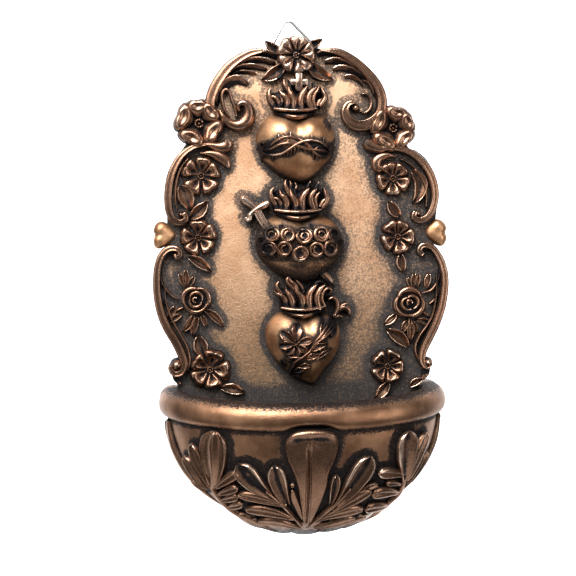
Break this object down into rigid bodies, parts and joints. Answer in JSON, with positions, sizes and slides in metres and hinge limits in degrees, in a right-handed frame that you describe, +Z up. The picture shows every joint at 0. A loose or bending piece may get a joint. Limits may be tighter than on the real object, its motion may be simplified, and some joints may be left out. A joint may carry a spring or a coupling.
{
  "type": "holy water stoup",
  "caption": "Wall-hung holy water font: an arched relief plate with stacked flaming hearts, flowers and scrolls above a half-round leaf-covered bowl, hung by a wire ring.",
  "frame": {"origin": "on the wall plane at the back of the plate, on the plate's middle line, level with the two side bosses", "axes": "+Z up, +Y into the wall, -Y to the front, +X to the right seen from the front"},
  "size_m": [0.1253, 0.051, 0.2179],
  "materials": {
    "plate_bronze": "cast resin, antique bronze paint with dark patina, satin",
    "bowl_bronze": "cast resin, antique bronze paint rubbed bright on the rim",
    "relief_bronze": "cast resin, antique bronze paint, black in the hollows",
    "heart_bronze": "cast resin, bronze paint rubbed bright",
    "leaf_bronze": "cast resin, antique bronze paint, black in the hollows",
    "hanger_steel": "brass-plated steel wire",
    "hanger_brass": "folded brass strip"
  },
  "bodies": {
    "root": {"arch_feathers_left": "relief_bronze", "arch_feathers_right": "relief_bronze", "arch_scroll_left": "relief_bronze", "arch_scroll_right": "relief_bronze", "back_plate": "plate_bronze", "bowl_edge_leaf_left": "leaf_bronze", "bowl_edge_leaf_right": "leaf_bronze", "bowl_front_leaf": "leaf_bronze", "bowl_outer_leaf_left": "leaf_bronze", "bowl_outer_leaf_right": "leaf_bronze", "bowl_rim": "bowl_bronze", "bowl_shell": "bowl_bronze", "bowl_side_leaf_left": "leaf_bronze", "bowl_side_leaf_right": "leaf_bronze", "crest_flower": "relief_bronze", "crest_leaves": "leaf_bronze", "cross": "relief_bronze", "flank_scroll_left": "relief_bronze", "flank_scroll_right": "relief_bronze", "hanger_screw": "hanger_steel", "hanger_strap": "hanger_brass", "lily_spray": "relief_bronze", "lower_collar": "relief_bronze", "lower_flames": "relief_bronze", "lower_flower_left": "relief_bronze", "lower_flower_right": "relief_bronze", "lower_heart": "heart_bronze", "middle_collar": "relief_bronze", "middle_flames": "relief_bronze", "middle_heart": "heart_bronze", "rose_garland": "relief_bronze", "rose_leaves_left": "leaf_bronze", "rose_leaves_right": "leaf_bronze", "rose_left": "relief_bronze", "rose_right": "relief_bronze", "shoulder_flower_left": "relief_bronze", "shoulder_flower_right": "relief_bronze", "shoulder_scroll_left": "relief_bronze", "shoulder_scroll_right": "relief_bronze", "side_boss_left": "relief_bronze", "side_boss_right": "relief_bronze", "side_leaves_left": "leaf_bronze", "side_leaves_right": "leaf_bronze", "sword_hilt": "relief_bronze", "sword_point": "relief_bronze", "thorn_crown": "relief_bronze", "upper_collar": "relief_bronze", "upper_flames": "relief_bronze", "upper_flower_left": "relief_bronze", "upper_flower_right": "relief_bronze", "upper_heart": "heart_bronze", "waist_flower_left": "relief_bronze", "waist_flower_right": "relief_bronze"},
    "hanger": {"hanger_ring": "hanger_steel"}
  },
  "joints": [
    {"name": "ring_swing", "type": "hinge", "parent": "root", "child": "hanger", "pos_m": [-0.00069, -0.0022, 0.0699], "axis": [-0.9903, 0, -0.1392], "range_deg": [0, 160]}
  ]
}
